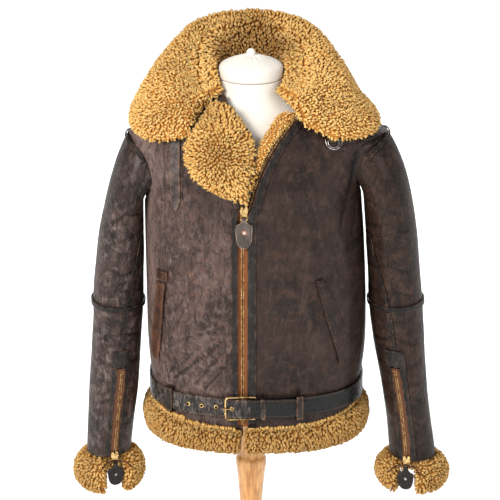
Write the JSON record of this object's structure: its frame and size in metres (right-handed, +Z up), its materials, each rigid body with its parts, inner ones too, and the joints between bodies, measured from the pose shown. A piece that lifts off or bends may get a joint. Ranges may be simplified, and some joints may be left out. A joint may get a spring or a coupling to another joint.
{
  "type": "sheepskin flying jacket on a limbless dress form with a stand",
  "caption": "Sheepskin flying jacket with a wide fur collar, open lapel, waist belt and zipped cuffs, worn on a cloth-covered dress form that stands on a turned pole and round base.",
  "frame": {"origin": "centre of the stand base's underside", "axes": "+Z up, the jacket's front faces -Y, +X is the wearer's left"},
  "size_m": [0.7312, 0.36, 1.121],
  "materials": {
    "front_leather": "worn semi-gloss",
    "sleeve_leather": "worn semi-gloss",
    "dark_trim": "polished",
    "sheepskin_fur": "curly pile",
    "zip_tape": "woven",
    "brass": "aged",
    "steel_ring": "polished",
    "form_cloth": "plain woven",
    "turned_wood": "satin varnish"
  },
  "bodies": {
    "root": {"front_right": "front_leather", "front_left": "front_leather", "back": "front_leather", "sleeve_head_right": "sleeve_leather", "sleeve_upper_right": "sleeve_leather", "sleeve_lower_right": "sleeve_leather", "elbow_band_right": "dark_trim", "cuff_fur_right": "sheepskin_fur", "sleeve_head_left": "sleeve_leather", "sleeve_upper_left": "sleeve_leather", "sleeve_lower_left": "sleeve_leather", "elbow_band_left": "dark_trim", "cuff_fur_left": "sheepskin_fur", "shoulder_strip_right": "dark_trim", "seam_strip_upper_right": "dark_trim", "seam_strip_lower_right": "dark_trim", "zip_facing_right": "dark_trim", "sleeve_zip_tape_right": "zip_tape", "sleeve_slider_right": "brass", "shoulder_strip_left": "dark_trim", "seam_strip_upper_left": "dark_trim", "seam_strip_lower_left": "dark_trim", "zip_facing_left": "dark_trim", "sleeve_zip_tape_left": "zip_tape", "sleeve_slider_left": "brass", "collar": "sheepskin_fur", "lapel": "sheepskin_fur", "edge_fur": "sheepskin_fur", "hem_fur_right": "sheepskin_fur", "hem_fur_left": "sheepskin_fur", "hem_fur_back": "sheepskin_fur", "zip_tape_right": "zip_tape", "zip_tape_left": "zip_tape", "zip_strip_right": "dark_trim", "zip_strip_left": "dark_trim", "belt_strap": "dark_trim", "eyelet_1": "brass", "eyelet_2": "brass", "eyelet_3": "brass", "eyelet_4": "brass", "zip_slider": "brass", "buckle_frame": "brass", "buckle_prong": "brass", "belt_keeper": "dark_trim", "belt_loop_left": "dark_trim", "belt_loop_right": "dark_trim", "throat_strap": "dark_trim", "ring_fold": "dark_trim", "pocket_welt_left": "front_leather", "pocket_welt_right": "front_leather", "pocket_bars": "dark_trim", "form_torso": "form_cloth", "neck_cap": "form_cloth", "pole": "turned_wood", "stand_base": "turned_wood"},
    "main_pull": {"zip_pull": "dark_trim"},
    "cuff_pull_right": {"sleeve_pull_right": "dark_trim"},
    "cuff_pull_left": {"sleeve_pull_left": "dark_trim"},
    "large_ring": {"throat_ring_large": "steel_ring"},
    "small_ring": {"throat_ring_small": "steel_ring"}
  },
  "joints": [
    {"name": "main_pull_swing", "type": "hinge", "parent": "root", "child": "main_pull", "pos_m": [-0.0126, -0.15515, 0.7905], "axis": [-1, 0, 0], "range_deg": [0, 135]},
    {"name": "cuff_pull_right_swing", "type": "hinge", "parent": "root", "child": "cuff_pull_right", "pos_m": [-0.2583, -0.08474, 0.27829], "axis": [-0.9613, -0.2756, 0], "range_deg": [0, 135]},
    {"name": "cuff_pull_left_swing", "type": "hinge", "parent": "root", "child": "cuff_pull_left", "pos_m": [0.29518, -0.08571, 0.26934], "axis": [-0.9613, 0.2756, 0], "range_deg": [0, 135]},
    {"name": "large_ring_swing", "type": "hinge", "parent": "root", "child": "large_ring", "pos_m": [0.14786, -0.10824, 0.92678], "axis": [-0.9604, -0.2231, 0.1667], "range_deg": [0, 35]},
    {"name": "small_ring_swing", "type": "hinge", "parent": "root", "child": "small_ring", "pos_m": [0.14786, -0.11003, 0.92438], "axis": [-0.9604, -0.2231, 0.1667], "range_deg": [0, 45]}
  ]
}
